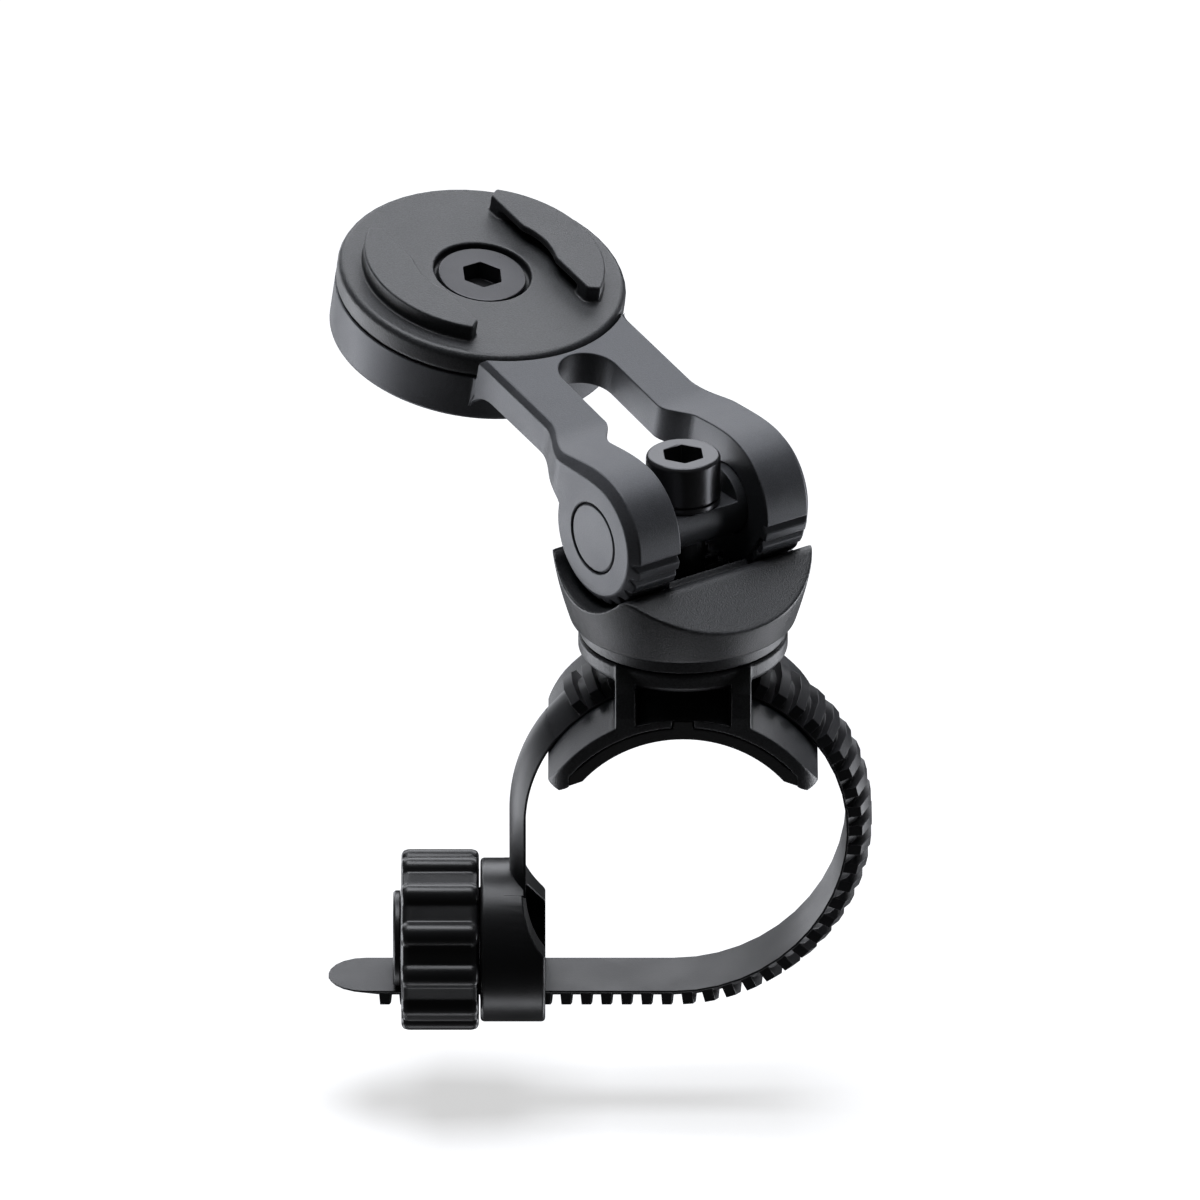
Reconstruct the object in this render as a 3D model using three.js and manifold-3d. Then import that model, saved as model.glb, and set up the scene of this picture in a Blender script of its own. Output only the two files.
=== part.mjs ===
// Handlebar phone mount: a toothed strap with a screw tensioner, a saddle, a swivelling cup,
// a forked tilting arm and a round twist-lock plate.
// Millimetres, +Z up. The origin is the crest of the saddle pad, where the handlebar touches.
// +Y is the handlebar's direction and +X runs along the strap's straight run.
import * as THREE from 'three';
import { mergeVertices } from 'three/addons/utils/BufferGeometryUtils.js';
import Module from 'manifold-3d';

const wasm = await Module();
wasm.setup();

// ---------- driving dimensions ----------
const SWIVEL_DEG = 35.3; // the cup's turn about +Z from the strap's plane
const TILT_DEG = 12.5; // the arm's rise above horizontal
const GAP = 0.3; // clearance between neighbouring pieces
const FINE = 112; // facets round a large turned face that stays in sight

const PIN = { height: 27, radius: 4.8, half: 14.7, flat: 1.5, flatHalf: 5.7 };
const BOLT = { radius: 2.95, hole: 3.3, headRadius: 5, headBottom: 29.55, headTop: 35.4, tip: 8.4, hex: 5 };
const NUT = { across: 10, bottom: 7.9, top: 11.8, bore: 3.1 };
const EAR = {
  radius: 9.4, faceRadius: 8, edge: 1.1, outer: 14.75, inner: 7, notches: 10, notchPitch: 15, notchStart: 172,
};
const BEAM = { outer: 12, inner: 4.2, offset: 0.5, top: 6.6, bottom: 1.5, edge: 0.75, windowEnd: 24.2 };
const HEAD = { reach: 49, radius: 19.5, bottom: -3.7, top: 3.3, sideFillet: 4, underFillet: 4.8 };
const PLATE = { radius: 19.5, bottom: 3.4, top: 6.8, screwFace: 6.35, screwRadius: 5.95, recess: 6.6 };
const LUG = { outer: 16.3, foot: 12.9, chord: 8.9, lip: 8.05, top: 9.2 };

const ARCH = {
  outer: 20.7, outerZ: -17, inner: 19.3, innerZ: -17.5, halfWidth: 18.1, hookX: 15.2, halfDepth: 14.4,
};
const DRUM = { radius: 14, bottom: 6.7, top: 9.3, hubRadius: 7.8, hubTop: 13 };
const POST = { outer: 9.05, inner: 6.4, depth: 5.6 };
const TUNNEL_TOP = 7.6;
const PAD = { inner: 17.5, outer: 19.15, halfDepth: 14.3, innerX: 13.4, outerX: 14.95 };
const CUP = {
  bottom: 11.5, foot: 15.1, footTop: 11.8, rim: 17.65, rimTop: 23, trough: 9.75, slope: 0.64,
  frontRidge: -7.95, rearRidge: 8.55, ridgeSink: 0.1, ridgeInside: 1.1, ridgeOutside: 1.4,
  rackHalf: 6.5, rackTeeth: 6,
};

const KNOB = {
  z: -36.9, left: -37.7, right: -27.3, radius: 12.15, bore: 9.2,
  bars: 12, barRadius: 1.05, barFacets: 7, bevel: 0.7,
};
const HOUSING = { left: -27.1, right: -18.4, radius: 11, cavity: 7.3, wall: -24 };
const JOURNAL = { radius: 7, flat: -4.85, neck: 5.7, end: -38.8 };
const STRAP = {
  tailX: -47.5, halfWidth: 5, edge: 0.25, rootRadius: 7.4, tipRadius: 8.8, faceOffset: 5.2,
  bottomZ: -42.1, lowerX: -1.2, lowerHeight: 24, upperRadius: 21.9, leftRadius: 21, crest: 3.8, splitDeg: 143,
};
const TOOTH = { pitch: 2.7, rootWidth: 1.5, tipWidth: 1.3, firstX: -39.65 };

// ---------- materials ----------
const finish = (color, roughness, metalness) => new THREE.MeshStandardMaterial({ color, roughness, metalness });
const anodised = () => finish(0x3a3b3f, 0.5, 0.7);
const blackSteel = () => finish(0x232427, 0.35, 0.8);
const moulded = () => finish(0x2a2b2e, 0.6, 0);
const glossy = () => finish(0x141416, 0.3, 0);
const soft = () => finish(0x161617, 0.8, 0);

// ---------- geometry helpers ----------
const radians = THREE.MathUtils.degToRad;
const polar = (radius, degrees, cx = 0, cy = 0) => [
  cx + radius * Math.cos(radians(degrees)),
  cy + radius * Math.sin(radians(degrees)),
];

/** Signed volume of an indexed closed mesh. */
function volumeOf(position, index) {
  const [a, b, c] = [new THREE.Vector3(), new THREE.Vector3(), new THREE.Vector3()];
  let volume = 0;
  for (let i = 0; i < index.length; i += 3) {
    a.fromBufferAttribute(position, index[i]);
    b.fromBufferAttribute(position, index[i + 1]);
    c.fromBufferAttribute(position, index[i + 2]);
    volume += a.dot(b.cross(c)) / 6;
  }
  return volume;
}

/** A closed geometry as a solid, with its faces turned outwards and collapsed triangles left out. */
function solidOf(geometry) {
  const bare = geometry.clone();
  bare.deleteAttribute('normal');
  bare.deleteAttribute('uv');
  const merged = mergeVertices(bare, 1e-4);
  const triangles = [];
  const index = merged.index.array;
  for (let i = 0; i < index.length; i += 3) {
    const [a, b, c] = [index[i], index[i + 1], index[i + 2]];
    if (a !== b && b !== c && c !== a) triangles.push([a, b, c]);
  }
  const inwards = volumeOf(merged.attributes.position, triangles.flat()) < 0;
  const triVerts = new Uint32Array(triangles.flatMap(([a, b, c]) => (inwards ? [a, c, b] : [a, b, c])));
  const vertProperties = new Float32Array(merged.attributes.position.array);
  return new wasm.Manifold(new wasm.Mesh({ numProp: 3, vertProperties, triVerts }));
}

/** A solid as a geometry for a THREE.Mesh. */
function geometryOf(solid) {
  const { vertProperties, triVerts } = solid.getMesh();
  const geometry = new THREE.BufferGeometry();
  geometry.setAttribute('position', new THREE.BufferAttribute(vertProperties, 3));
  geometry.setIndex(new THREE.BufferAttribute(triVerts, 1));
  const flat = geometry.toNonIndexed();
  flat.computeVertexNormals();
  return flat;
}

const join = (first, ...others) => others.reduce((sum, solid) => sum.add(solid), first);
const cut = (first, ...others) => others.reduce((rest, solid) => rest.subtract(solid), first);

const UNIT = { x: new THREE.Vector3(1, 0, 0), y: new THREE.Vector3(0, 1, 0), z: new THREE.Vector3(0, 0, 1) };
const BASIS = {
  x: new THREE.Matrix4().makeBasis(UNIT.y, UNIT.z, UNIT.x),
  y: new THREE.Matrix4().makeBasis(UNIT.x, UNIT.z, UNIT.y.clone().negate()),
  z: new THREE.Matrix4(),
};

/** A shape drawn in the plane across an axis (YZ, XZ or XY), extruded from one coordinate to another. */
function extrudeAlong(axis, shape, from, to, curveSegments = 12) {
  const geometry = new THREE.ExtrudeGeometry(shape, { depth: to - from, bevelEnabled: false, curveSegments });
  geometry.applyMatrix4(BASIS[axis]);
  const start = axis === 'y' ? to : from;
  geometry.translate(...UNIT[axis].clone().multiplyScalar(start).toArray());
  return solidOf(geometry);
}

/** A profile of [radius, height] points turned about an axis. It starts and ends on the axis, or closes. */
function revolve(axis, profile, segments = 40) {
  const geometry = new THREE.LatheGeometry(profile.map(([r, h]) => new THREE.Vector2(r, h)), segments);
  if (axis === 'x') geometry.rotateZ(-Math.PI / 2);
  if (axis === 'z') geometry.rotateX(Math.PI / 2);
  return solidOf(geometry);
}

const polygon = (points) => new THREE.Shape(points.map(([x, y]) => new THREE.Vector2(x, y)));
const rectangle = (x0, y0, x1, y1) => polygon([[x0, y0], [x1, y0], [x1, y1], [x0, y1]]);
const mirrored = (points) => [...points].reverse().map(([x, y]) => [-x, y]);

/** A rod about an axis, from one coordinate to another. */
const rod = (axis, radius, from, to, segments = 32) =>
  revolve(axis, [[0, from], [radius, from], [radius, to], [0, to]], segments);

/** A hexagonal prism along Z, given across its flats. */
function hexPrism(across, from, to) {
  const corner = across / 2 / Math.cos(Math.PI / 6);
  return extrudeAlong('z', polygon([0, 60, 120, 180, 240, 300].map((deg) => polar(corner, deg))), from, to);
}

/** A body through a list of rings, each the same number of points round a convex section. */
function loft(rings) {
  const count = rings[0].length;
  const index = [];
  for (let ring = 0; ring + 1 < rings.length; ring++) {
    for (let i = 0; i < count; i++) {
      const [a, b] = [ring * count + i, ring * count + ((i + 1) % count)];
      index.push(a, b, b + count, a, b + count, a + count);
    }
  }
  const last = (rings.length - 1) * count;
  for (let i = 1; i + 1 < count; i++) {
    index.push(0, i + 1, i);
    index.push(last, last + i, last + i + 1);
  }
  const geometry = new THREE.BufferGeometry();
  const position = rings.flat().flatMap((point) => point.toArray());
  geometry.setAttribute('position', new THREE.Float32BufferAttribute(position, 3));
  geometry.setIndex(index);
  return solidOf(geometry);
}

// ---------- saddle ----------
/** Arch in the XZ plane: two wings whose tips turn in over the ends of the pad. */
function archShape() {
  const tip = Math.acos(ARCH.halfWidth / ARCH.outer);
  const inner = Math.acos(ARCH.hookX / ARCH.inner);
  const hook = [[-17.7, -7.2], [-16.5, -7.75], [-ARCH.hookX, -7.1]];
  const shape = new THREE.Shape();
  shape.absarc(0, ARCH.outerZ, ARCH.outer, tip, Math.PI - tip, false);
  hook.forEach(([x, z]) => shape.lineTo(x, z));
  shape.absarc(0, ARCH.innerZ, ARCH.inner, Math.PI - inner, inner, true);
  mirrored(hook).forEach(([x, z]) => shape.lineTo(x, z));
  return shape;
}

/** Rounded rectangle in plan that trims the corners of the wings. */
function wingPlan(corner = 3) {
  const [x, y] = [ARCH.halfWidth, ARCH.halfDepth];
  const shape = new THREE.Shape();
  shape.absarc(x - corner, y - corner, corner, 0, Math.PI / 2, false);
  shape.absarc(-x + corner, y - corner, corner, Math.PI / 2, Math.PI, false);
  shape.absarc(-x + corner, -y + corner, corner, Math.PI, 1.5 * Math.PI, false);
  shape.absarc(x - corner, -y + corner, corner, 1.5 * Math.PI, 2 * Math.PI, false);
  return shape;
}

/** Region above an arch-shaped floor, up to a flat ceiling, in the XZ plane. */
function passage(halfWidth, floorRadius, ceiling) {
  const angle = Math.acos(halfWidth / floorRadius);
  const shape = new THREE.Shape();
  shape.absarc(0, ARCH.outerZ, floorRadius, angle, Math.PI - angle, false);
  shape.lineTo(-halfWidth, ceiling);
  shape.lineTo(halfWidth, ceiling);
  return shape;
}

function saddleBase() {
  const arch = extrudeAlong('y', archShape(), -ARCH.halfDepth, ARCH.halfDepth, 36)
    .intersect(extrudeAlong('z', wingPlan(), -12, 6, 6));
  const side = [[ARCH.halfDepth, 0], [ARCH.halfDepth, 3.2], [13.6, 6.4], [11.6, DRUM.top]];
  const barHollow = rod('y', ARCH.inner, -15, 15, FINE).translate([0, 0, ARCH.innerZ]);
  const outline = polygon([...mirrored(side), ...side].reverse());
  const block = cut(extrudeAlong('x', outline, -POST.outer, POST.outer), barHollow);
  const drum = revolve('z', [
    [0, DRUM.bottom], [DRUM.radius - 0.5, DRUM.bottom], [DRUM.radius, DRUM.bottom + 0.6],
    [DRUM.radius, DRUM.top - 0.3], [DRUM.radius - 0.3, DRUM.top], [DRUM.hubRadius, DRUM.top],
    [DRUM.hubRadius, DRUM.hubTop - 0.4], [DRUM.hubRadius - 0.4, DRUM.hubTop], [0, DRUM.hubTop],
  ], 80);
  const tunnel = extrudeAlong('y', passage(12, ARCH.outer, TUNNEL_TOP), -POST.depth, POST.depth, 30);
  const window = extrudeAlong('y', passage(POST.inner, ARCH.outer - 0.7, DRUM.top + 0.1), -15, 15);
  const nutPocket = hexPrism(NUT.across + 0.5, 7, NUT.top + 0.2);
  const boltHole = rod('z', BOLT.hole, 8, 14, 24);
  const tabSlots = [-1, 1].map((end) => {
    const [near, far] = [end * 13.1, end * 15];
    return extrudeAlong('y', rectangle(-1.45, 0, 1.45, 2.85), Math.min(near, far), Math.max(near, far));
  });
  const posts = cut(join(arch, block), window);
  return cut(join(posts, drum), tunnel, nutPocket, boltHole, ...tabSlots);
}

function rubberPad() {
  const [inner, outer] = [Math.acos(PAD.innerX / PAD.inner), Math.acos(PAD.outerX / PAD.outer)];
  const shape = new THREE.Shape();
  shape.absarc(0, ARCH.innerZ, PAD.inner, inner, Math.PI - inner, false);
  shape.lineTo(-PAD.outerX, -6.95);
  shape.absarc(0, ARCH.innerZ, PAD.outer, Math.PI - outer, outer, true);
  shape.lineTo(PAD.outerX, -6.95);
  const layer = extrudeAlong('y', shape, -PAD.halfDepth, PAD.halfDepth, 16);
  const tabs = [-PAD.halfDepth, PAD.halfDepth - 1].map((y) =>
    extrudeAlong('y', rectangle(-1.3, 1, 1.3, 2.7), y, y + 1));
  return join(layer, ...tabs);
}

const baseNut = () => cut(hexPrism(NUT.across, NUT.bottom, NUT.top), rod('z', NUT.bore, 5, 15, 24));

const frictionRing = () => revolve('z', [
  [8.2, 9.45], [13.6, 9.45], [13.85, 9.65], [13.85, 11.1], [13.6, 11.35], [8.2, 11.35], [8.2, 9.45],
], 48);

// ---------- swivel group: local X along the cross pin, local Y away from the fork ----------
/** Everything above the cup's top, in the YZ plane: two slopes, two rounded ridges and the round trough. */
function cupTopShape() {
  const rim = 20;
  const troughFloor = (v) => PIN.height - Math.sqrt(CUP.trough ** 2 - v ** 2);
  const onSlope = (ridge, v) =>
    troughFloor(ridge) - CUP.ridgeSink - CUP.slope * (Math.abs(v) - Math.abs(ridge));
  const [front, rear] = [CUP.frontRidge, CUP.rearRidge];
  const [frontFoot, rearFoot] = [front + CUP.ridgeInside, rear - CUP.ridgeInside];
  const [start, end] = [frontFoot, rearFoot].map((v) => Math.atan2(troughFloor(v) - PIN.height, v));
  const [frontSlope, rearSlope] = [front - CUP.ridgeOutside, rear + CUP.ridgeOutside];
  const shape = new THREE.Shape();
  shape.moveTo(-rim, 32);
  shape.lineTo(-rim, onSlope(front, rim));
  shape.lineTo(frontSlope, onSlope(front, frontSlope));
  shape.quadraticCurveTo(front, onSlope(front, front), frontFoot, troughFloor(frontFoot));
  shape.absarc(0, PIN.height, CUP.trough, start, end, false);
  shape.quadraticCurveTo(rear, onSlope(rear, rear), rearSlope, onSlope(rear, rearSlope));
  shape.lineTo(rim, onSlope(rear, rim));
  shape.lineTo(rim, 32);
  return shape;
}

function swivelCup() {
  const flare = new THREE.CubicBezierCurve(
    new THREE.Vector2(CUP.foot, CUP.footTop),
    new THREE.Vector2(16, 14.6),
    new THREE.Vector2(17.1, 18),
    new THREE.Vector2(CUP.rim, CUP.rimTop),
  );
  const side = flare.getPoints(9).map((point) => point.toArray());
  const wall = revolve('z', [[0, CUP.bottom], [CUP.foot - 0.4, CUP.bottom], ...side, [0, CUP.rimTop]], FINE);
  const hubRecess = rod('z', DRUM.hubRadius + GAP, 10, DRUM.hubTop + GAP);
  const hollowed = cut(wall, extrudeAlong('x', cupTopShape(), -20, 20, 24), hubRecess);
  return cut(join(hollowed, ...troughRack()), rod('z', BOLT.hole, 10, 25, 24));
}

/** Sawtooth ribs across the middle of the trough, between the arm's two ears. */
function troughRack() {
  return Array.from({ length: CUP.rackTeeth }, (_, k) => {
    const angle = 231 + k * EAR.notchPitch;
    const [foot, tip, back] = [polar(10.3, angle - 1), polar(8.5, angle), polar(9.5, angle + 9)];
    const rib = polygon([foot, tip, back, polar(10.3, angle + 10)]);
    return extrudeAlong('x', rib, -CUP.rackHalf, CUP.rackHalf).translate([0, 0, PIN.height]);
  });
}

/** Cross pin about local X, with its middle at the origin. */
function clampPin() {
  const pin = revolve('x', [
    [0, -PIN.half], [PIN.radius - 0.25, -PIN.half], [PIN.radius, -PIN.half + 0.25],
    [PIN.radius, PIN.half - 0.25], [PIN.radius - 0.25, PIN.half], [0, PIN.half],
  ], 32);
  const seat = extrudeAlong('x', rectangle(-6, PIN.flat, 6, 6), -PIN.flatHalf, PIN.flatHalf);
  return cut(pin, seat, rod('z', BOLT.hole, -6, 6, 24));
}

const boltWasher = () => revolve('z', [
  [BOLT.hole, 28.55], [4.8, 28.55], [5, 28.7], [5, 29.35], [4.8, 29.5], [BOLT.hole, 29.5], [BOLT.hole, 28.55],
], 36);

function clampBolt() {
  const { radius, headRadius, headBottom, headTop, tip } = BOLT;
  const blank = revolve('z', [
    [0, tip], [radius - 0.4, tip], [radius, tip + 0.4], [radius, headBottom], [headRadius - 0.1, headBottom],
    [headRadius, headBottom + 0.1], [headRadius, headTop - 0.4], [headRadius - 0.35, headTop], [0, headTop],
  ], 36);
  return cut(blank, hexPrism(BOLT.hex, headTop - 3.2, headTop + 1));
}

// ---------- arm: local X along the pin, local Y along the arm, local Z up through the plate ----------
const blend = (from, to, x, start, end) =>
  THREE.MathUtils.lerp(from, to, THREE.MathUtils.smoothstep(x, start, end));
const fillet = (p, start, radius) => {
  const along = THREE.MathUtils.clamp(p - start, 0, radius);
  return radius - Math.sqrt(radius ** 2 - along ** 2);
};
const armOffset = (p) => blend(0, BEAM.offset, p, 9, 17.5);
const armHalfWidth = (p) =>
  blend(EAR.outer, BEAM.outer, p, 9, 17.5) + fillet(Math.min(p, 34.9), 32, HEAD.sideFillet);
const forkHalfGap = (p) => blend(EAR.inner, BEAM.inner, p, 8.6, 14.2);
const armTop = (p) => blend(EAR.radius, BEAM.top, p, 0, 15);
const armBottom = (p) => blend(-3, BEAM.bottom, p, 2, 11) - fillet(p, 29, HEAD.underFillet);
const edgeHeight = (p) => blend(EAR.radius - EAR.faceRadius, BEAM.edge, p, 2, 15);

/** Both beams as one solid with chamfered top edges and fillets to the head, before the fork is cut. */
function beamBlank() {
  const bend = Array.from({ length: 23 }, (_, i) => i * 0.8);
  const stations = [...bend, 29, 29.8, 30.6, 31.3, 31.9, 32.5, 33, 33.4, 33.8, 34.2, 34.6, 34.9, 38];
  return loft(stations.map((p) => {
    const [half, top, bottom] = [armHalfWidth(p), armTop(p), armBottom(p)];
    const [drop, inset] = [edgeHeight(p), blend(EAR.edge, BEAM.edge, p, 2, 15)];
    const section = [
      [-half, bottom], [half, bottom], [half, top - drop], [half - inset, top],
      [-half + inset, top], [-half, top - drop],
    ];
    return section.map(([u, q]) => new THREE.Vector3(u + armOffset(p), p, q));
  }));
}

/** Plan of the open fork and the round-ended window behind it. */
function forkShape() {
  const stations = [-14, 8.6, 9, 9.5, 10, 10.5, 11, 11.4, 11.8, 12.3, 12.8, 13.3, 13.8, 14.2];
  const side = (sign) => stations.map((p) => [armOffset(p) + sign * forkHalfGap(p), p]);
  const shape = polygon(side(1));
  shape.absarc(BEAM.offset, BEAM.windowEnd, BEAM.inner, 0, Math.PI, false);
  side(-1).reverse().forEach(([x, y]) => shape.lineTo(x, y));
  return shape;
}

/** Sawtooth notches round the lower rim of the ears. */
function earNotches() {
  return Array.from({ length: EAR.notches }, (_, k) => {
    const angle = EAR.notchStart + k * EAR.notchPitch;
    const tooth = polygon([polar(10.2, angle), polar(8.4, angle + 1.5), polar(10.2, angle + 11)]);
    return extrudeAlong('x', tooth, -16, 16);
  });
}

function arm() {
  const ears = revolve('x', [
    [0, -EAR.outer], [EAR.faceRadius, -EAR.outer], [EAR.radius, -EAR.outer + EAR.edge],
    [EAR.radius, EAR.outer - EAR.edge], [EAR.faceRadius, EAR.outer], [0, EAR.outer],
  ], FINE);
  const head = revolve('z', [
    [0, HEAD.bottom], [HEAD.radius - 0.4, HEAD.bottom], [HEAD.radius, HEAD.bottom + 0.4],
    [HEAD.radius, HEAD.top], [0, HEAD.top],
  ], FINE).translate([0, HEAD.reach, 0]);
  const plateSeat = rod('z', PLATE.radius + GAP, HEAD.top, 12, FINE).translate([0, HEAD.reach, 0]);
  const screwHole = revolve('z', [
    [0, -5], [3.2, -5], [3.2, 2.4], [4.2, HEAD.top + 0.1], [0, HEAD.top + 0.1],
  ], 24).translate([0, HEAD.reach, 0]);
  const fork = extrudeAlong('z', forkShape(), -12, 14, 24);
  const pinBore = rod('x', PIN.radius + 0.15, -16, 16, 32);
  return cut(join(beamBlank(), ears, head), plateSeat, screwHole, fork, pinBore, ...earNotches());
}

// ---------- plate: local origin on the arm's pin plane, on the plate's axis ----------
function lugLip() {
  const reach = Math.hypot(LUG.chord, 4);
  const hollow = Math.atan2(4, LUG.chord);
  const tip = Math.atan2(12.65, 10.6);
  const shape = new THREE.Shape();
  shape.absarc(0, 0, LUG.outer, -tip, tip, false);
  shape.lineTo(LUG.chord, 11.5);
  shape.absarc(0, 0, reach, hollow, -hollow, true);
  shape.lineTo(LUG.chord, -11.5);
  return extrudeAlong('z', shape, LUG.lip, LUG.top, 10);
}

/** The foot below the lip: set back in the middle and full at both end stops. */
function lugFoot() {
  const tip = Math.atan2(12.65, 10.6);
  const back = radians(40);
  const shape = new THREE.Shape();
  shape.absarc(0, 0, LUG.outer, -tip, tip, false);
  shape.lineTo(LUG.chord, 11.5);
  shape.lineTo(LUG.chord, 9.3);
  shape.absarc(0, 0, LUG.foot, back, -back, true);
  shape.lineTo(LUG.chord, -9.3);
  shape.lineTo(LUG.chord, -11.5);
  return extrudeAlong('z', shape, PLATE.top - 0.3, LUG.lip + 0.1, 10);
}

function phonePlate() {
  const disc = revolve('z', [
    [0, PLATE.bottom], [PLATE.radius - 0.3, PLATE.bottom], [PLATE.radius, PLATE.bottom + 0.3],
    [PLATE.radius, PLATE.top - 1], [PLATE.radius - 0.3, PLATE.top - 0.3], [PLATE.radius - 1, PLATE.top],
    [0, PLATE.top],
  ], 52);
  const lug = lugFoot().add(lugLip());
  const screwSeat = revolve('z', [
    [0, 3], [3.9, 3], [3.9, PLATE.bottom + 0.1], [6.2, 5.5], [PLATE.recess, 5.5], [PLATE.recess, 8], [0, 8],
  ], 40);
  return cut(join(disc, lug, lug.rotate([0, 0, 180])), screwSeat);
}

function plateScrew() {
  const { screwFace, screwRadius } = PLATE;
  const blank = revolve('z', [
    [0, -1.5], [2.5, -1.5], [2.9, -1.1], [2.9, 2.95], [screwRadius, 6], [screwRadius, screwFace - 0.1],
    [screwRadius - 0.1, screwFace], [0, screwFace],
  ], 36);
  return cut(blank, hexPrism(BOLT.hex, screwFace - 2.6, screwFace + 1));
}

// ---------- strap ----------
/** The flat inner face in the XZ plane: straight run, lower and upper arcs, then the left arc. */
function strapPath() {
  const { tailX, bottomZ, lowerX, lowerHeight, upperRadius, leftRadius, crest } = STRAP;
  const path = new THREE.CurvePath();
  const arc = (x, z, width, height, fromDeg, toDeg) =>
    path.add(new THREE.EllipseCurve(x, z, width, height, radians(fromDeg), radians(toDeg), false));
  path.add(new THREE.LineCurve(new THREE.Vector2(tailX, bottomZ), new THREE.Vector2(lowerX, bottomZ)));
  arc(lowerX, bottomZ + lowerHeight, upperRadius - lowerX, lowerHeight, -90, 0);
  arc(0, crest - upperRadius, upperRadius, upperRadius, 0, 90);
  arc(0, crest - leftRadius, leftRadius, leftRadius, 90, 180);
  return path;
}

const path = strapPath();
const pathLength = path.getLength();
const leftArcEnd = pathLength - STRAP.leftRadius * radians(180 - STRAP.splitDeg);

/** A point at a distance along the path, raised outwards from the inner face and across the width. */
function onStrap(distance, raise, across) {
  const t = THREE.MathUtils.clamp(distance / pathLength, 0, 1);
  const point = path.getPointAt(t);
  const tangent = path.getTangentAt(t);
  return new THREE.Vector3(point.x + tangent.y * raise, across, point.y - tangent.x * raise);
}

/** D-shaped band section at one place: flat inside, round outside. A fullness below 1 thins it to a tongue. */
function bandRing(distance, halfWidth = STRAP.halfWidth, fullness = 1) {
  const angles = [-30, -15, 0, 15, 30].map(radians);
  const crown = angles.map((a) => [
    Math.max((STRAP.rootRadius * Math.cos(a) - STRAP.faceOffset) * fullness, STRAP.edge + 0.05),
    (STRAP.rootRadius * Math.sin(a) * halfWidth) / STRAP.halfWidth,
  ]);
  const { edge } = STRAP;
  const section = [[0, -halfWidth], [edge, -halfWidth], ...crown, [edge, halfWidth], [0, halfWidth]];
  return section.map(([raise, across]) => onStrap(distance, raise, across));
}

/** One tooth: a rib on the round side, on the helix that the knob's thread follows. */
function tooth(distance) {
  const steps = [-1, -0.35, 0.35, 1];
  const corners = [
    [STRAP.rootRadius - 0.35, -TOOTH.rootWidth / 2], [STRAP.tipRadius, -TOOTH.tipWidth / 2],
    [STRAP.tipRadius, TOOTH.tipWidth / 2], [STRAP.rootRadius - 0.35, TOOTH.rootWidth / 2],
  ];
  return loft(steps.map((step) => corners.map(([radius, along]) => {
    const angle = step * Math.asin((STRAP.halfWidth - 0.1) / radius);
    const helix = (TOOTH.pitch * angle) / (2 * Math.PI);
    const raise = Math.max(radius * Math.cos(angle) - STRAP.faceOffset, 0.1);
    return onStrap(distance + along + helix, raise, radius * Math.sin(angle));
  })));
}

function strap() {
  const { tailX, halfWidth, lowerX } = STRAP;
  const tail = [0.02, 0.3, 1, 2, 3.5, 5].map((d) =>
    bandRing(d, Math.sqrt(halfWidth ** 2 - (halfWidth - d) ** 2), 0.3 + 0.1 * d));
  const straightEnd = lowerX - tailX;
  const arcSteps = 30;
  const arcs = Array.from({ length: arcSteps + 1 }, (_, i) =>
    bandRing(THREE.MathUtils.lerp(straightEnd, leftArcEnd, i / arcSteps)));
  const band = loft([...tail, bandRing(7), ...arcs]);
  const teeth = [];
  const last = leftArcEnd - TOOTH.pitch;
  for (let d = TOOTH.firstX - tailX; d < last; d += TOOTH.pitch) teeth.push(tooth(d));
  return join(band, ...teeth);
}

/** The smooth end of the strap: the rest of the left arc, then straight down into the housing. */
function strapLead() {
  const arcRings = [0.2, 3, 6, 9, 13.4].map((d) => bandRing(leftArcEnd + d));
  const below = [-18.5, -22, -25.4, -28.2].map((z) =>
    bandRing(pathLength).map((p) => new THREE.Vector3(p.x, p.y, z)));
  return loft([...arcRings, ...below]);
}

// ---------- tensioner: local X along the strap's straight run, origin on the knob's axis ----------
/** Room for the toothed band below the journal's flat, in the YZ plane. */
function strapPassage(from, to) {
  const round = rod('x', STRAP.tipRadius + GAP, from, to, 40);
  return round.intersect(extrudeAlong('x', rectangle(-5.4, -12, 5.4, JOURNAL.flat), from, to));
}

/** A rod with the strap's flat cut off below. */
function flattenedRod(radius, from, to) {
  const below = extrudeAlong('x', rectangle(-12, -12, 12, JOURNAL.flat), from - 1, to + 1);
  return cut(rod('x', radius, from, to, 36), below);
}

function strapHousing() {
  const { left, right, radius, cavity, wall } = HOUSING;
  const ring = revolve('x', [
    [0, left], [radius - 0.3, left], [radius, left + 0.3],
    [radius, right - 0.3], [radius - 0.3, right], [0, right],
  ], 56);
  const scoop = new THREE.Shape();
  scoop.moveTo(-16, 12);
  scoop.lineTo(-21.4, 12);
  scoop.absarc(-9.9, 10.2, 11.5, Math.PI, radians(223.5), false);
  scoop.lineTo(-16, 2.28);
  const leadSlot = extrudeAlong('z', rectangle(-23.5, -5.3, -20.7, 5.3), 8.4, 13);
  const hollow = rod('x', cavity, wall, right + 1, 36);
  const body = cut(ring, extrudeAlong('y', scoop, -12, 12, 10), hollow, leadSlot);
  const journal = join(
    flattenedRod(JOURNAL.radius, KNOB.left - 0.1, left + 1),
    flattenedRod(JOURNAL.neck, JOURNAL.end, KNOB.left),
  );
  return cut(body.add(journal), strapPassage(left - 1, right + 1));
}

const knobRetainer = () => cut(
  revolve('x', [
    [JOURNAL.neck + 0.1, JOURNAL.end], [6.3, JOURNAL.end], [6.6, JOURNAL.end + 0.3], [6.6, KNOB.left - 0.15],
    [JOURNAL.neck + 0.1, KNOB.left - 0.15], [JOURNAL.neck + 0.1, JOURNAL.end],
  ], 40),
  extrudeAlong('x', rectangle(-12, -12, 12, JOURNAL.flat), -40, -30),
);

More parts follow.
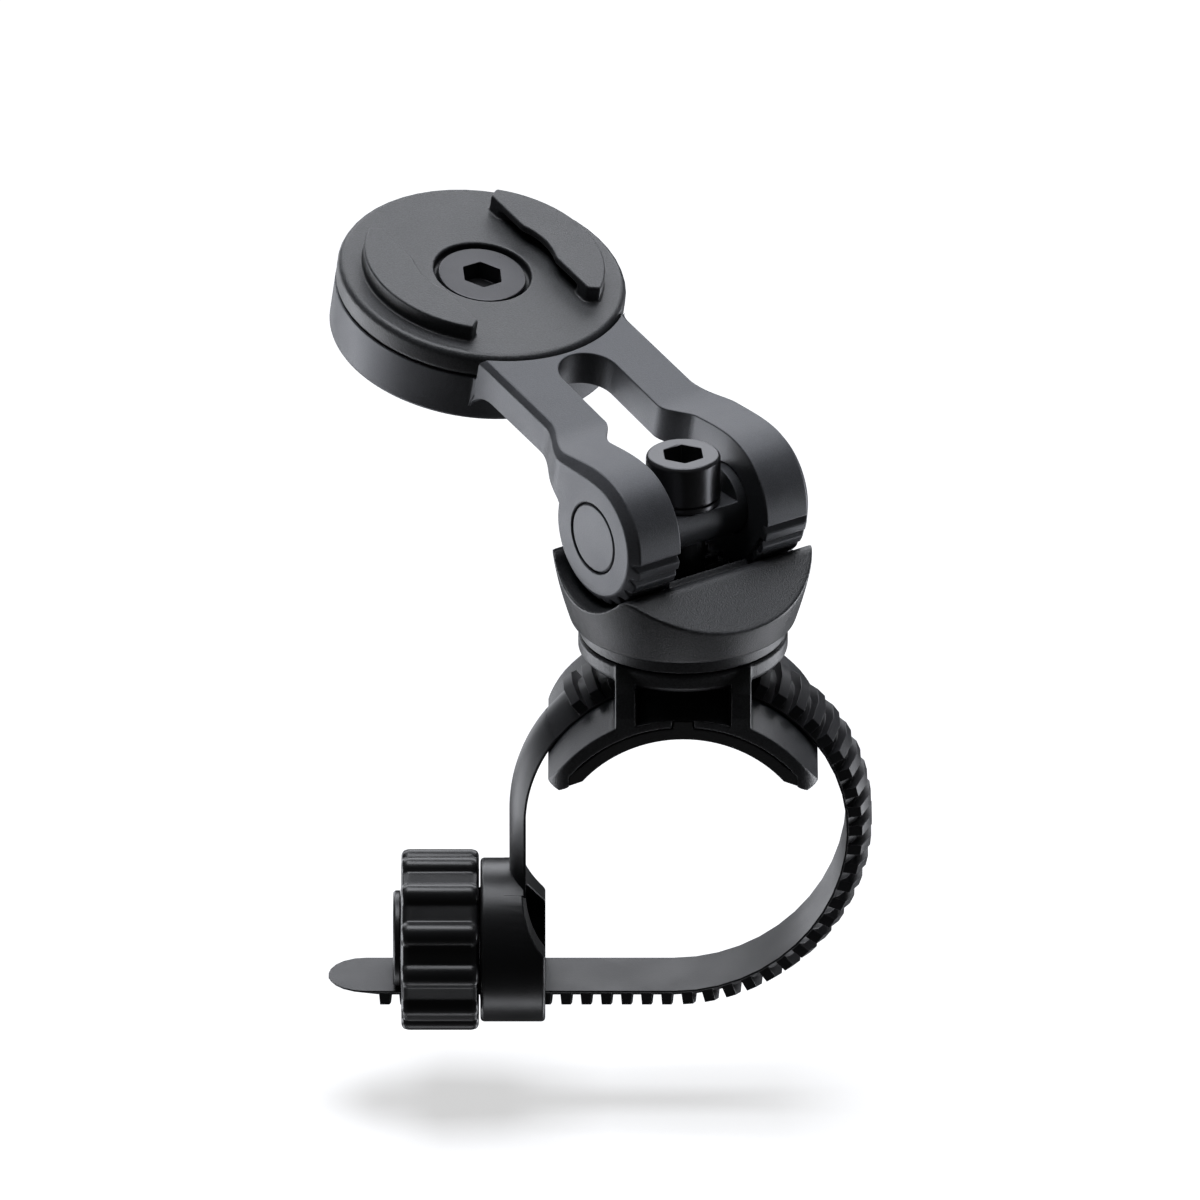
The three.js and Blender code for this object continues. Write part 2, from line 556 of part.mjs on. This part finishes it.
/** Outline of the grip in the YZ plane: round bars side by side, one of them facing -Y, with flats between. */
function knobShape() {
  const step = 360 / KNOB.bars;
  const rise = 90 / KNOB.barFacets;
  const centre = KNOB.radius - KNOB.bevel - KNOB.barRadius;
  const points = Array.from({ length: KNOB.bars }, (_, k) =>
    Array.from({ length: 2 * KNOB.barFacets + 1 }, (_, i) => {
      const direction = 180 + k * step;
      return polar(KNOB.barRadius, direction - 90 + i * rise, ...polar(centre, direction));
    }));
  return polygon(points.flat());
}

/** The ridge inside the knob, on the same helix as the strap's teeth and midway between them. */
function knobThread() {
  const phase = TOOTH.firstX + 4.5 * TOOTH.pitch;
  const [stepsPerTurn, turns] = [16, 3.3];
  const start = KNOB.left + 0.55;
  const steps = Math.round(stepsPerTurn * turns);
  const rings = Array.from({ length: steps + 1 }, (_, i) => {
    const x = start + (TOOTH.pitch * i) / stepsPerTurn;
    const angle = (2 * Math.PI * (x - phase)) / TOOTH.pitch;
    const corner = ([radius, along]) =>
      new THREE.Vector3(x + along, radius * Math.sin(angle), -radius * Math.cos(angle));
    return [[KNOB.bore + 0.3, -0.4], [7.8, -0.25], [7.8, 0.25], [KNOB.bore + 0.3, 0.4]].map(corner);
  });
  return loft(rings);
}

function tensionKnob() {
  const rounding = 0.9;
  const geometry = new THREE.ExtrudeGeometry(knobShape(), {
    depth: KNOB.right - KNOB.left - 2 * rounding,
    bevelThickness: rounding, bevelSize: KNOB.bevel, bevelSegments: 2,
  });
  geometry.applyMatrix4(BASIS.x);
  geometry.translate(KNOB.left + rounding, 0, 0);
  const grip = cut(solidOf(geometry), rod('x', KNOB.bore, KNOB.left - 1, KNOB.right + 1, 40));
  return join(grip, knobThread());
}

// ---------- assembly ----------
const phoneMount = new THREE.Group();

/** Adds a named piece to a group. */
function add(group, name, solid, material) {
  const mesh = new THREE.Mesh(geometryOf(solid), material);
  mesh.name = name;
  group.add(mesh);
}

const swivelGroup = new THREE.Group();
swivelGroup.rotation.z = radians(SWIVEL_DEG);
const pinGroup = new THREE.Group();
pinGroup.position.z = PIN.height;
const armGroup = new THREE.Group();
armGroup.position.z = PIN.height;
armGroup.rotation.x = radians(TILT_DEG);
const plateGroup = new THREE.Group();
plateGroup.position.y = HEAD.reach;
const tensionGroup = new THREE.Group();
tensionGroup.position.z = KNOB.z;
phoneMount.add(swivelGroup, tensionGroup);
swivelGroup.add(pinGroup, armGroup);
armGroup.add(plateGroup);

add(phoneMount, 'saddle_base', saddleBase(), moulded());
add(phoneMount, 'rubber_pad', rubberPad(), soft());
add(phoneMount, 'base_nut', baseNut(), blackSteel());
add(phoneMount, 'friction_ring', frictionRing(), moulded());
add(phoneMount, 'strap', strap(), moulded());
add(phoneMount, 'strap_lead', strapLead(), moulded());
add(swivelGroup, 'swivel_cup', swivelCup(), moulded());
add(pinGroup, 'clamp_pin', clampPin(), anodised());
add(swivelGroup, 'bolt_washer', boltWasher(), blackSteel());
add(swivelGroup, 'clamp_bolt', clampBolt(), blackSteel());
add(armGroup, 'arm', arm(), anodised());
add(plateGroup, 'phone_plate', phonePlate(), moulded());
add(plateGroup, 'plate_screw', plateScrew(), blackSteel());
add(tensionGroup, 'strap_housing', strapHousing(), glossy());
add(tensionGroup, 'tension_knob', tensionKnob(), glossy());
add(tensionGroup, 'knob_retainer', knobRetainer(), glossy());

export default phoneMount;
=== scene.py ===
"""Handlebar phone mount: the looks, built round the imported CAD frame.

Lengths are in millimetres and are multiplied by MM where Blender needs metres."""
import math

import bmesh
import bpy
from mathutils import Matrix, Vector
from mathutils.bvhtree import BVHTree


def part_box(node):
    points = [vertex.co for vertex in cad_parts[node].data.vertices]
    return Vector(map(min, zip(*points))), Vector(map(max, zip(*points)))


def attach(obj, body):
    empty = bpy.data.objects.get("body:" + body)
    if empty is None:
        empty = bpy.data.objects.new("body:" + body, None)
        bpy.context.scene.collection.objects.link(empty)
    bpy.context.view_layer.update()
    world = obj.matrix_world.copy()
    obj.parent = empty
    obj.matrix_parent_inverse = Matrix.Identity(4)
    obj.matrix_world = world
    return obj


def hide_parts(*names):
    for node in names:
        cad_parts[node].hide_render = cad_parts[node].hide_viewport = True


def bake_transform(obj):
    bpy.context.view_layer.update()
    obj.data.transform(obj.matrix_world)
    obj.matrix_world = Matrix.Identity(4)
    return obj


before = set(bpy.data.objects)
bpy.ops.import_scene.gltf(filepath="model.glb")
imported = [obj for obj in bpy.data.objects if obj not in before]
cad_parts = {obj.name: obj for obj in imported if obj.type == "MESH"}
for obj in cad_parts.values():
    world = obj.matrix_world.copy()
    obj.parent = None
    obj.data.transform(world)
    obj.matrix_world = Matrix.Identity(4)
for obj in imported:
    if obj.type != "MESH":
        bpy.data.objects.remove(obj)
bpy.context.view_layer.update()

MM = 0.001

# ---------- materials ----------
EDGE_WEAR = 0.25  # how much paler the sharp edges are
CLOUD_SCALE = 160  # frequency per metre of the slow unevenness in colour and sheen


def material(name, color, roughness, grain, depth, speckle, metallic=0.0, sheen=0.5, recess=1.0):
    """A hard surface with a fine moulded or blasted grain, uneven sheen, paler edges and a painted shade that
    dims the sheen in hollows.

    grain is the grain's frequency per metre, depth its height in mm, speckle how far it shows in the
    colour, sheen the strength of the surface reflection, and recess the share of it left in hollows, where the
    cut is painted shade."""
    made = bpy.data.materials.new(name)
    made.use_nodes = True
    nodes, links = made.node_tree.nodes, made.node_tree.links
    shader = nodes["Principled BSDF"]
    shader.inputs["Metallic"].default_value = metallic
    place = nodes.new("ShaderNodeTexCoord")

    def noise(scale, detail):
        node = nodes.new("ShaderNodeTexNoise")
        node.inputs["Scale"].default_value = scale
        node.inputs["Detail"].default_value = detail
        links.new(place.outputs["Object"], node.inputs["Vector"])
        return node.outputs["Fac"]

    def remap(value, low, high, to_low, to_high):
        node = nodes.new("ShaderNodeMapRange")
        for socket, number in (("From Min", low), ("From Max", high), ("To Min", to_low), ("To Max", to_high)):
            node.inputs[socket].default_value = number
        links.new(value, node.inputs["Value"])
        return node.outputs["Result"]

    def multiply(first, second):
        node = nodes.new("ShaderNodeMath")
        node.operation = "MULTIPLY"
        links.new(first, node.inputs[0])
        links.new(second, node.inputs[1])
        return node.outputs["Value"]

    fine, cloudy = noise(grain, 2), noise(CLOUD_SCALE, 4)
    edges = nodes.new("ShaderNodeNewGeometry").outputs["Pointiness"]
    specks = remap(fine, 0.35, 0.68, 1 - speckle, 1 + 1.6 * speckle)
    shade = multiply(specks, remap(cloudy, 0.3, 0.7, 0.9, 1.1))
    shade = multiply(shade, remap(edges, 0.5, 0.6, 1.0, 1.0 + EDGE_WEAR))
    tint = nodes.new("ShaderNodeVectorMath")
    tint.operation = "SCALE"
    tint.inputs[0].default_value = color
    links.new(shade, tint.inputs["Scale"])
    links.new(tint.outputs["Vector"], shader.inputs["Base Color"])
    slow_rough = remap(cloudy, 0.3, 0.7, roughness * 0.9, roughness * 1.1)
    links.new(multiply(slow_rough, remap(fine, 0.3, 0.7, 0.94, 1.06)), shader.inputs["Roughness"])
    # painted shade: the sheen is cut in hollows, where pointiness is low, so gaps and creases look shadowed
    links.new(remap(edges, 0.42, 0.5, recess * sheen, sheen), shader.inputs["Specular IOR Level"])
    bump = nodes.new("ShaderNodeBump")
    bump.inputs["Strength"].default_value = 0.5
    bump.inputs["Distance"].default_value = depth * MM
    links.new(fine, bump.inputs["Height"])
    links.new(bump.outputs["Normal"], shader.inputs["Normal"])
    return made


ANODISED = material("anodised", (0.060, 0.062, 0.068), 0.46, 6000, 0.05, 0.1, metallic=0.35)
MOULDED = material("moulded", (0.020, 0.021, 0.023), 0.43, 4600, 0.09, 0.35, sheen=0.55)
# the strap keeps only a tenth of its sheen in hollows, a painted shade that darkens the gaps between its teeth
STRAP = material("strap_plastic", (0.018, 0.018, 0.020), 0.4, 5000, 0.02, 0.08, sheen=0.33, recess=0.1)
SATIN = material("satin_plastic", (0.010, 0.010, 0.011), 0.33, 6000, 0.01, 0.05)
STEEL = material("black_steel", (0.055, 0.055, 0.058), 0.3, 9000, 0.01, 0.05, metallic=0.8)
RUBBER = material("pad_rubber", (0.012, 0.012, 0.012), 0.6, 4000, 0.05, 0.15)

# ---------- mesh helpers ----------
SHARP_DEG = 28  # edges that turn more than this are rounded, and stay crisp in the shading
ROUNDED_SHARP_DEG = 75  # the same for a mesh whose edges are all rounded already
SWEPT_SHARP_DEG = 40  # the same for a swept tube
SEAM_REACH = 3  # edges nearer than this to a seam are left unrounded
STRAY = 0.6  # a rounded point that strays further than this share of the rounding is put back


def finish_piece(node, mesh_data, surface, body, sharp_deg=SHARP_DEG):
    """Puts a finished mesh, already in metres, on its body in place of its CAD node."""
    name = node + "_finished"
    mesh = bpy.data.meshes.new(name)
    mesh_data.to_mesh(mesh)
    mesh_data.free()
    mesh.materials.append(surface)
    mesh.shade_smooth()
    mesh.set_sharp_from_angle(angle=math.radians(sharp_deg))
    piece = bpy.data.objects.new(name, mesh)
    bpy.context.scene.collection.objects.link(piece)
    if body:
        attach(piece, body)
    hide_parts(node)
    weighted = piece.modifiers.new("weighted", "WEIGHTED_NORMAL")
    weighted.keep_sharp = True
    return piece


def softened(node, bevel, seam=None):
    """A copy of a CAD node's mesh with its flat faces made whole and its sharp edges rounded.

    bevel is the rounding's width in mm. Edges close to the seam, a point seen along Y, stay sharp."""
    work = bmesh.new()
    work.from_mesh(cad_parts[node].data)
    bmesh.ops.remove_doubles(work, verts=work.verts, dist=0.004 * MM)
    bmesh.ops.dissolve_limit(work, angle_limit=math.radians(0.6), verts=work.verts, edges=work.edges)
    bmesh.ops.remove_doubles(work, verts=work.verts, dist=0.02 * MM)
    skin = BVHTree.FromBMesh(work)

    def wanted(edge):
        if len(edge.link_faces) != 2 or edge.calc_face_angle(0) <= math.radians(SHARP_DEG):
            return False
        middle = (edge.verts[0].co + edge.verts[1].co) / 2
        return seam is None or math.hypot(middle.x - seam.x, middle.z - seam.z) > SEAM_REACH * MM

    bmesh.ops.bevel(
        work, geom=[edge for edge in work.edges if wanted(edge)], offset=bevel * MM, offset_type="OFFSET",
        segments=3, profile=0.5, affect="EDGES", clamp_overlap=False, miter_outer="ARC", loop_slide=True)
    for vert in work.verts:
        nearest, _, _, away = skin.find_nearest(vert.co)
        if away > STRAY * bevel * MM:
            vert.co = nearest
    return work


def moulded(node, voxel, smoothing):
    """A copy of a CAD node's mesh with every edge, inside corners too, evenly rounded as a mould
    leaves it. voxel is the grid's size in mm, and smoothing the number of smoothing passes."""
    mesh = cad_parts[node].data.copy()
    rough = bpy.data.objects.new(node + "_rough", mesh)
    bpy.context.scene.collection.objects.link(rough)
    remesh = rough.modifiers.new("remesh", "REMESH")
    remesh.mode = "VOXEL"
    remesh.voxel_size = voxel * MM
    smooth = rough.modifiers.new("smooth", "SMOOTH")
    smooth.factor = 0.5
    smooth.iterations = smoothing
    thin = rough.modifiers.new("thin", "DECIMATE")
    thin.ratio = 0.35
    done = rough.evaluated_get(bpy.context.evaluated_depsgraph_get())
    work = bmesh.new()
    work.from_mesh(done.data)
    bpy.data.objects.remove(rough)
    bpy.data.meshes.remove(mesh)
    return work


def sweep(work, rings):
    """Adds a closed tube to a mesh, through rings of points that all have the same length."""
    loops = [[work.verts.new(point) for point in ring] for ring in rings]
    for here, there in zip(loops, loops[1:]):
        for i in range(len(here)):
            j = (i + 1) % len(here)
            work.faces.new((here[i], here[j], there[j], there[i]))
    work.faces.new(reversed(loops[0]))
    work.faces.new(loops[-1])
    bmesh.ops.recalc_face_normals(work, faces=work.faces)


def carry(node, surface, body, bevel, seam=None):
    return finish_piece(node, softened(node, bevel, seam), surface, body)


def carry_moulded(node, surface, body, voxel, smoothing):
    return finish_piece(node, moulded(node, voxel, smoothing), surface, body, ROUNDED_SHARP_DEG)


# ---------- pieces ----------
carry("arm", ANODISED, "arm_body", 0.22)
carry("clamp_pin", ANODISED, "swivel_body", 0.1)
carry("phone_plate", MOULDED, "plate_body", 0.35)
carry("plate_screw", STEEL, "arm_body", 0.1)
carry("clamp_bolt", STEEL, "swivel_body", 0.15)
carry("bolt_washer", STEEL, "swivel_body", 0.08)
carry_moulded("swivel_cup", MOULDED, "swivel_body", 0.16, 14)
carry("friction_ring", MOULDED, "saddle_body", 0.1)
carry_moulded("saddle_base", MOULDED, "saddle_body", 0.16, 5)
carry("base_nut", STEEL, "saddle_body", 0.1)
carry("knob_retainer", SATIN, "tensioner_body", 0.1)
carry_moulded("tension_knob", SATIN, "knob_body", 0.12, 16)

PAD_END_X = 14  # the pad's two ends lie beyond this, above PAD_END_Z
PAD_END_Z = -8
PAD_STRETCH = 15.25 / 14.95  # from the CAD pad's end to the saddle's lip

# the strap's smooth lead: the centre and radius of its arc about the bar, then straight down to its end
LEAD_ARC = 21.0
LEAD_ARC_Z = -17.2
LEAD_FROM_DEG = 143.0
LEAD_END_Z = -28.2
# its D-shaped section: half its width, the crown's radius, the flat face's distance from the crown's
# centre, half the chord that the crown spans, and the thickness of its edges
LEAD_HALF_WIDTH = 5.0
LEAD_CROWN = 7.4
LEAD_FACE = 5.2
LEAD_CHORD = 4.9
LEAD_EDGE = 0.2
CROWN_STEPS = 6  # on each side of the middle
CROWN_LEAN_DEG = 7  # how much further the crown leans at each step
TUCK_DEG = 0.8  # how far the lead's top reaches into the strap, so that no seam shows
TUCK_DEPTH = 0.1
TUCK_SHRINK = 0.12
ARC_STEPS = 32
STRAIGHT_STEPS = 14

# the block that closes the housing round the lead's foot; its round top follows the housing
FOOT_LEFT = -23.9
FOOT_RIGHT = -21.35
FOOT_HALF_WIDTH = 5.7
FOOT_BOTTOM = 8.3  # above the knob's axis
FOOT_PROUD = 0.02  # how far it stands above the housing's surface
FOOT_STEPS = 8


def pad():
    """The rubber liner. Its ends press outwards against the saddle's lips, with no gap left."""
    piece = carry("rubber_pad", RUBBER, "saddle_body", 0.15)
    for vert in piece.data.vertices:
        if abs(vert.co.x) > PAD_END_X * MM and vert.co.z > PAD_END_Z * MM:
            vert.co.x *= PAD_STRETCH


def lead_ring(x, z, turn_deg, shrink=0.0):
    """The lead's section, flat inside and round outside, with its flat face's middle at x and z.

    turn_deg is the outward direction from +X, and shrink narrows and thins the section."""
    side = LEAD_HALF_WIDTH - shrink
    outline = [(0.0, -side), (LEAD_EDGE, -side)]
    for step in range(-CROWN_STEPS, CROWN_STEPS + 1):
        share = step / CROWN_STEPS
        raised = math.sqrt(LEAD_CROWN ** 2 - (share * LEAD_CHORD) ** 2) - LEAD_FACE
        inwards = shrink * math.cos(math.radians(CROWN_LEAN_DEG * step))
        outline.append((max(raised, LEAD_EDGE + 0.1) - inwards, share * (side - 0.1)))
    outline += [(LEAD_EDGE, side), (0.0, side)]
    out_x, out_z = math.cos(math.radians(turn_deg)), math.sin(math.radians(turn_deg))
    return [((x + raised * out_x) * MM, across * MM, (z + raised * out_z) * MM) for raised, across in outline]


def on_lead_arc(turn_deg, reach=LEAD_ARC):
    """A point, as x and z, on the arc that the lead's flat face follows."""
    turn = math.radians(turn_deg)
    return reach * math.cos(turn), LEAD_ARC_Z + reach * math.sin(turn)


def strap():
    """The toothed band, and the smooth lead that joins it to the housing."""
    seam_x, seam_z = on_lead_arc(LEAD_FROM_DEG)
    carry("strap", STRAP, "saddle_body", 0.08, Vector((seam_x, 0, seam_z)) * MM)
    first = LEAD_FROM_DEG - TUCK_DEG
    rings = [lead_ring(*on_lead_arc(first, LEAD_ARC + TUCK_DEPTH), first, TUCK_SHRINK)]
    for step in range(1, ARC_STEPS + 1):
        turn_deg = first + (180 - first) * step / ARC_STEPS
        rings.append(lead_ring(*on_lead_arc(turn_deg), turn_deg))
    for step in range(1, STRAIGHT_STEPS + 1):
        z = LEAD_ARC_Z + (LEAD_END_Z - LEAD_ARC_Z) * step / STRAIGHT_STEPS
        rings.append(lead_ring(-LEAD_ARC, z, 180))
    work = bmesh.new()
    sweep(work, rings)
    lead = finish_piece("strap_lead", work, STRAP, None, SWEPT_SHARP_DEG)
    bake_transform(lead)


def housing():
    """The strap's housing, made whole round the foot of the lead."""
    work = softened("strap_housing", 0.25)
    low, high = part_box("strap_housing")
    radius = (high.y - low.y) / 2 + FOOT_PROUD * MM
    axis_z = (low.z + high.z) / 2
    half, bottom = FOOT_HALF_WIDTH * MM, axis_z + FOOT_BOTTOM * MM
    outline = []
    for step in range(-FOOT_STEPS, FOOT_STEPS + 1):
        y = half * step / FOOT_STEPS
        outline.append((y, axis_z + math.sqrt(radius ** 2 - y ** 2)))
    outline += [(half, bottom), (-half, bottom)]
    sweep(work, [[(x * MM, y, z) for y, z in outline] for x in (FOOT_LEFT, FOOT_RIGHT)])
    finish_piece("strap_housing", work, SATIN, "tensioner_body")


pad()
strap()
housing()

# ---------- studio ----------
FLOOR_Z = -61
FLOOR_HALF_M = 3.2
FLOOR_GLOW = 0.62
AIM = Vector((-11, 0, 0))  # what every lamp points at
LAMP_COLOR = (0.93, 0.95, 1.0)
WORLD_STRENGTH = 0.03
LOW_PIECES = ("strap_finished", "strap_housing_finished", "tension_knob_finished")


def floor():
    """A white table. It throws no light back onto the object, as if black cards stood round it."""
    mesh = bpy.data.meshes.new("floor")
    work = bmesh.new()
    bmesh.ops.create_grid(work, x_segments=8, y_segments=8, size=FLOOR_HALF_M)
    work.to_mesh(mesh)
    work.free()
    surface = bpy.data.materials.new("floor_white")
    surface.use_nodes = True
    shader = surface.node_tree.nodes["Principled BSDF"]
    shader.inputs["Base Color"].default_value = (0.9, 0.9, 0.9, 1)
    shader.inputs["Roughness"].default_value = 0.9
    shader.inputs["Specular IOR Level"].default_value = 0.0
    shader.inputs["Emission Color"].default_value = (1, 1, 1, 1)
    shader.inputs["Emission Strength"].default_value = FLOOR_GLOW
    mesh.materials.append(surface)
    made = bpy.data.objects.new("floor", mesh)
    made.location.z = FLOOR_Z * MM
    made.visible_glossy = False
    made.visible_diffuse = False
    made.visible_shadow = False
    bpy.context.scene.collection.objects.link(made)
    return made


def light_group(name, members, include):
    """A collection that a lamp's light or shadow is limited to, or that it leaves out."""
    group = bpy.data.collections.new(name)
    for member in members:
        group.objects.link(member)
    for row in group.collection_objects:
        row.light_linking.link_state = "INCLUDE" if include else "EXCLUDE"
    return group


def softbox(name, azimuth_deg, height_deg, distance, width, height, power):
    """A rectangular area light, sized in metres. Azimuth 0 is behind the object, 90 at its right."""
    turn, rise = math.radians(azimuth_deg), math.radians(height_deg)
    out = Vector((math.sin(turn) * math.cos(rise), math.cos(turn) * math.cos(rise), math.sin(rise)))
    lamp = bpy.data.lights.new(name, "AREA")
    lamp.shape = "RECTANGLE"
    lamp.size, lamp.size_y = width, height
    lamp.energy = power
    lamp.color = LAMP_COLOR
    made = bpy.data.objects.new(name, lamp)
    made.location = AIM * MM + out * distance
    made.rotation_euler = (-out).to_track_quat("-Z", "Y").to_euler()
    bpy.context.scene.collection.objects.link(made)
    return made


table = floor()
table_only = light_group("table_only", [table], True)
all_but_table = light_group("all_but_table", [table], False)
for lamp in (
    softbox("overhead", 0, 80, 1.1, 0.9, 0.7, 12),
    softbox("back_high", 0, 32, 1.1, 1.5, 0.6, 9),
    softbox("left_card", -75, -18, 1.0, 0.9, 0.5, 7.5),
    softbox("right_card", 75, -18, 1.0, 0.9, 0.5, 8.5),
    softbox("low_left", -70, -55, 1.0, 0.6, 0.4, 2.5),
    softbox("low_right", 70, -55, 1.0, 0.6, 0.4, 2.5),
    softbox("rear_low_left", -28, -10, 1.0, 0.6, 0.4, 1.3),
    softbox("under_front", 180, -75, 1.0, 0.5, 0.3, 1.2),
):
    lamp.light_linking.receiver_collection = all_but_table

# the table has its own lamp, and only the low pieces shade it
shadow_lamp = softbox("table_light", 0, 90, 1.1, 0.75, 0.75, 9)
shadow_lamp.light_linking.receiver_collection = table_only
low_pieces = [bpy.data.objects[name] for name in LOW_PIECES]
shadow_lamp.light_linking.blocker_collection = light_group("shadow_casters", low_pieces, True)

world = bpy.data.worlds.new("studio")
world.use_nodes = True
world.node_tree.nodes["Background"].inputs["Color"].default_value = (1, 1, 1, 1)
world.node_tree.nodes["Background"].inputs["Strength"].default_value = WORLD_STRENGTH
bpy.context.scene.world = world
bpy.context.scene.view_settings.view_transform = "Standard"

# ---------- camera ----------
LENS = 900
SENSOR_WIDTH = 36
VIEW_WIDTH = 160  # the width of what the camera sees at the target
VIEW_HEIGHT_DEG = 26
TARGET = Vector((-11.07, 0, 13.74))

camera_data = bpy.data.cameras.new("camera")
camera_data.lens = LENS
camera_data.sensor_width = SENSOR_WIDTH
camera_data.clip_end = 20
camera = bpy.data.objects.new("camera", camera_data)
elevation = math.radians(VIEW_HEIGHT_DEG)
back = Vector((0, -math.cos(elevation), math.sin(elevation)))
camera.location = TARGET * MM + back * VIEW_WIDTH * MM * LENS / SENSOR_WIDTH
camera.rotation_euler = (-back).to_track_quat("-Z", "Y").to_euler()
bpy.context.scene.collection.objects.link(camera)
bpy.context.scene.camera = camera
